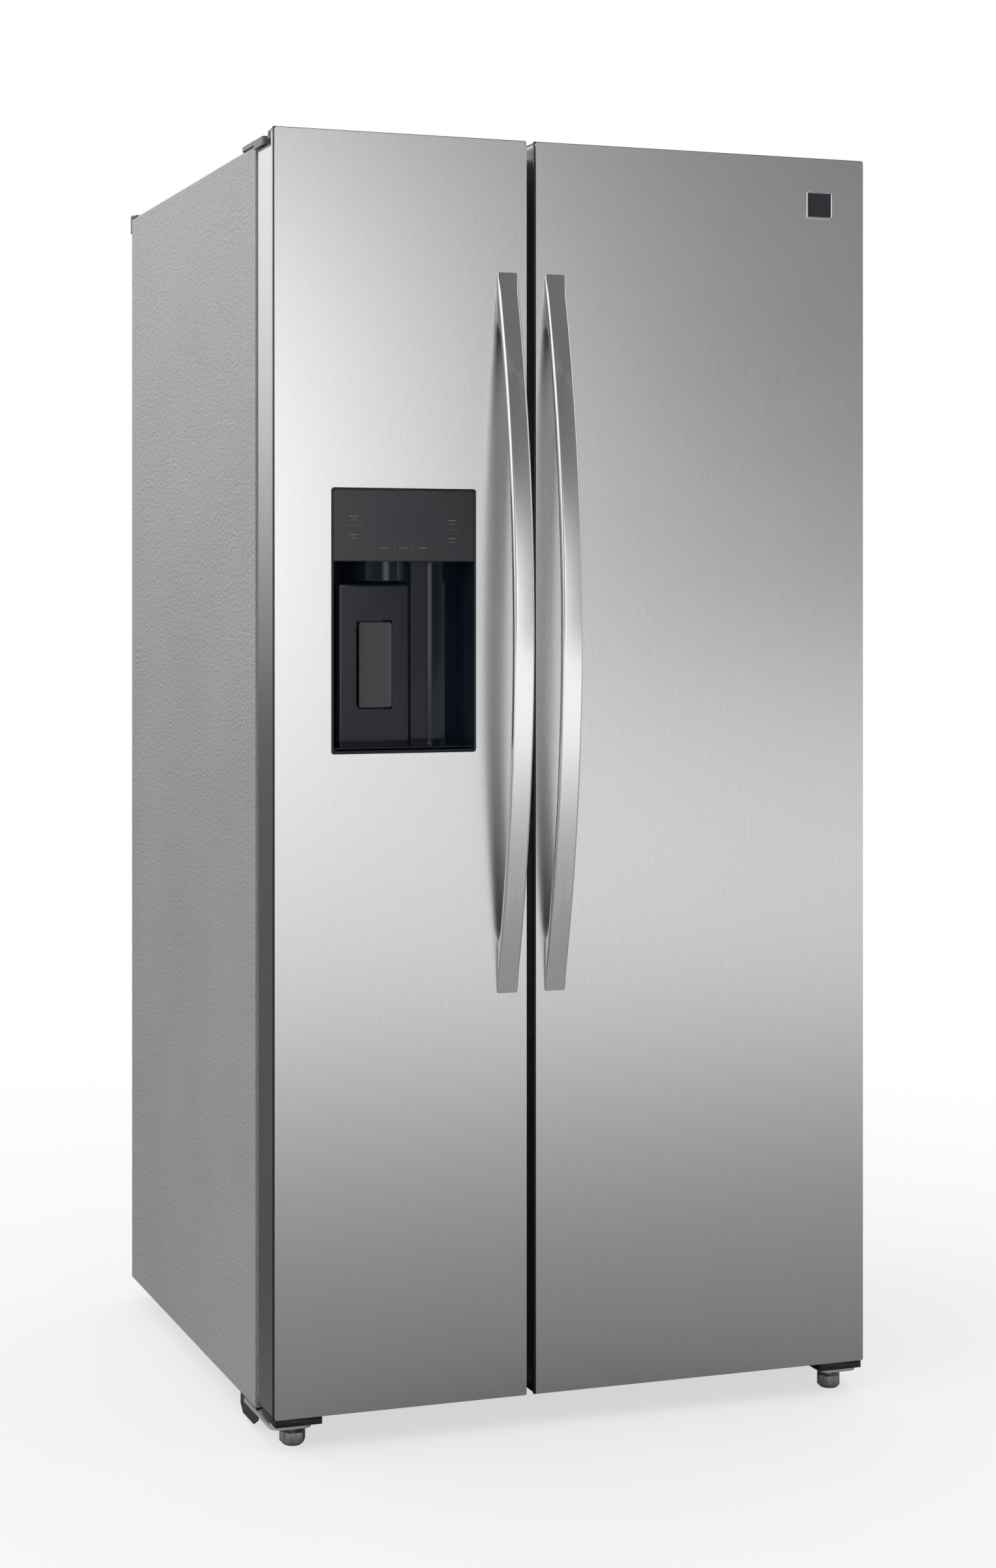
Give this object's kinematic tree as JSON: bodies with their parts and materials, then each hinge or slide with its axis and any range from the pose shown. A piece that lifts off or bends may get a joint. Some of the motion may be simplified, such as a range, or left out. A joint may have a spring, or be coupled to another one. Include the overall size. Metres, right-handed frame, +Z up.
{
  "type": "side by side refrigerator",
  "caption": "Free-standing side by side refrigerator: narrow freezer door with an ice and water dispenser, wide fridge door, bowed bar handles, shelves, drawers and door bins.",
  "frame": {"origin": "on the floor under the middle of the whole outline, handles and rear spacers included", "axes": "+Z up, -Y out of the doors' front, +X to the right as seen from the front"},
  "size_m": [0.895, 0.892, 1.788],
  "materials": {
    "side_paint": "satin",
    "galvanised": "satin",
    "foam": "matte",
    "liner_white": "satin",
    "dark_metal": "satin",
    "black_metal": "gloss",
    "rubber": "matte",
    "white_plastic": "matte",
    "copper_coil": "satin",
    "clear_plastic": "gloss",
    "glass": "gloss",
    "light_lens": "gloss",
    "zinc_steel": "satin",
    "dark_plastic": "matte",
    "brushed_steel": "satin",
    "handle_steel": "satin",
    "black_frame": "satin",
    "gasket": "matte",
    "dispenser_black": "gloss",
    "panel_glass": "gloss",
    "foot_metal": "satin",
    "badge_plate": "gloss"
  },
  "bodies": {
    "cabinet": {"cabinet_shell": "side_paint", "back_panel": "galvanised", "cabinet_foam": "foam", "freezer_liner": "liner_white", "fridge_liner": "liner_white", "mullion_strip": "galvanised", "base_frame": "dark_metal", "machine_cover": "dark_plastic", "compressor": "black_metal", "compressor_mounts": "rubber", "condenser_coil": "black_metal", "condenser_shroud": "white_plastic", "drain_pan": "white_plastic", "water_valve": "white_plastic", "power_inlet": "dark_plastic", "evaporator_coil": "copper_coil", "evaporator_cover": "liner_white", "ice_maker": "liner_white", "ice_bucket": "clear_plastic", "auger_motor": "zinc_steel", "shelf_glass": "glass", "shelf_frames": "white_plastic", "interior_lights": "light_lens", "water_filter": "white_plastic", "top_hinges": "zinc_steel", "hinge_covers": "dark_plastic", "bottom_hinges": "zinc_steel", "rear_spacers": "dark_plastic", "screws": "zinc_steel"},
    "freezer_door": {"freezer_door_skin": "brushed_steel", "freezer_door_frame": "black_frame", "freezer_door_body": "foam", "freezer_door_liner": "liner_white", "freezer_door_gasket": "gasket", "freezer_handle": "handle_steel", "freezer_door_bins": "clear_plastic", "dispenser_housing": "dispenser_black", "dispenser_panel": "panel_glass", "dispenser_chute": "dispenser_black"},
    "fridge_door": {"fridge_door_skin": "brushed_steel", "fridge_door_frame": "black_frame", "fridge_door_body": "foam", "fridge_door_liner": "liner_white", "fridge_door_gasket": "gasket", "fridge_handle": "handle_steel", "fridge_door_bins": "clear_plastic", "badge": "badge_plate"},
    "paddle": {"dispenser_paddle": "dispenser_black"},
    "tray": {"drip_tray": "dispenser_black"},
    "condenser_fan": {"condenser_fan": "dark_plastic"},
    "evaporator_fan": {"evaporator_fan": "dark_plastic"},
    "ice_auger": {"ice_auger": "copper_coil"},
    "crisper_upper": {"crisper_upper": "clear_plastic"},
    "crisper_lower": {"crisper_lower": "clear_plastic"},
    "freezer_basket_upper": {"freezer_basket_upper": "clear_plastic"},
    "freezer_basket_lower": {"freezer_basket_lower": "clear_plastic"},
    "roller_left": {"roller_left": "dark_plastic"},
    "roller_right": {"roller_right": "dark_plastic"},
    "foot_left": {"foot_left": "foot_metal"},
    "foot_right": {"foot_right": "foot_metal"}
  },
  "joints": [
    {"name": "freezer_door_hinge", "type": "hinge", "parent": "cabinet", "child": "freezer_door", "pos_m": [-0.4335, -0.3465, 0.9], "axis": [0, 0, -1], "range_deg": [0, 120]},
    {"name": "fridge_door_hinge", "type": "hinge", "parent": "cabinet", "child": "fridge_door", "pos_m": [0.4335, -0.3465, 0.9], "axis": [0, 0, 1], "range_deg": [0, 120]},
    {"name": "crisper_upper_slide", "type": "slide", "parent": "cabinet", "child": "crisper_upper", "axis": [0, -1, 0], "range_m": [0, 0.25]},
    {"name": "crisper_lower_slide", "type": "slide", "parent": "cabinet", "child": "crisper_lower", "axis": [0, -1, 0], "range_m": [0, 0.25]},
    {"name": "freezer_basket_upper_slide", "type": "slide", "parent": "cabinet", "child": "freezer_basket_upper", "axis": [0, -1, 0], "range_m": [0, 0.25]},
    {"name": "freezer_basket_lower_slide", "type": "slide", "parent": "cabinet", "child": "freezer_basket_lower", "axis": [0, -1, 0], "range_m": [0, 0.25]},
    {"name": "paddle_hinge", "type": "hinge", "parent": "freezer_door", "child": "paddle", "pos_m": [-0.27725, -0.295, 1.114], "axis": [1, 0, 0], "range_deg": [0, 8], "stiffness_Nm_per_rad": 1, "springref_deg": -2.86},
    {"name": "tray_slide", "type": "slide", "parent": "freezer_door", "child": "tray", "axis": [0, -1, 0], "range_m": [0, 0.06]},
    {"name": "condenser_fan_spin", "type": "hinge", "parent": "cabinet", "child": "condenser_fan", "pos_m": [-0.015, 0.316, 0.146], "axis": [1, 0, 0], "continuous": true},
    {"name": "evaporator_fan_spin", "type": "hinge", "parent": "cabinet", "child": "evaporator_fan", "pos_m": [-0.24575, 0.318, 1.186], "axis": [0, -1, 0], "continuous": true},
    {"name": "ice_auger_spin", "type": "hinge", "parent": "cabinet", "child": "ice_auger", "pos_m": [-0.27725, 0.168, 1.3685], "axis": [0, -1, 0], "continuous": true},
    {"name": "roller_left_spin", "type": "hinge", "parent": "cabinet", "child": "roller_left", "pos_m": [-0.4005, 0.374, 0.016], "axis": [1, 0, 0], "continuous": true},
    {"name": "roller_right_spin", "type": "hinge", "parent": "cabinet", "child": "roller_right", "pos_m": [0.4005, 0.374, 0.016], "axis": [1, 0, 0], "continuous": true},
    {"name": "foot_left_screw", "type": "slide", "parent": "cabinet", "child": "foot_left", "axis": [0, 0, -1], "range_m": [0, 0.012]},
    {"name": "foot_right_screw", "type": "slide", "parent": "cabinet", "child": "foot_right", "axis": [0, 0, -1], "range_m": [0, 0.012]}
  ],
  "couplings": [
    {"joint": "crisper_upper_slide", "follows": "fridge_door_hinge", "m_per_rad": 0.1193},
    {"joint": "crisper_lower_slide", "follows": "fridge_door_hinge", "m_per_rad": 0.1193},
    {"joint": "freezer_basket_upper_slide", "follows": "freezer_door_hinge", "m_per_rad": 0.1193},
    {"joint": "freezer_basket_lower_slide", "follows": "freezer_door_hinge", "m_per_rad": 0.1193}
  ]
}
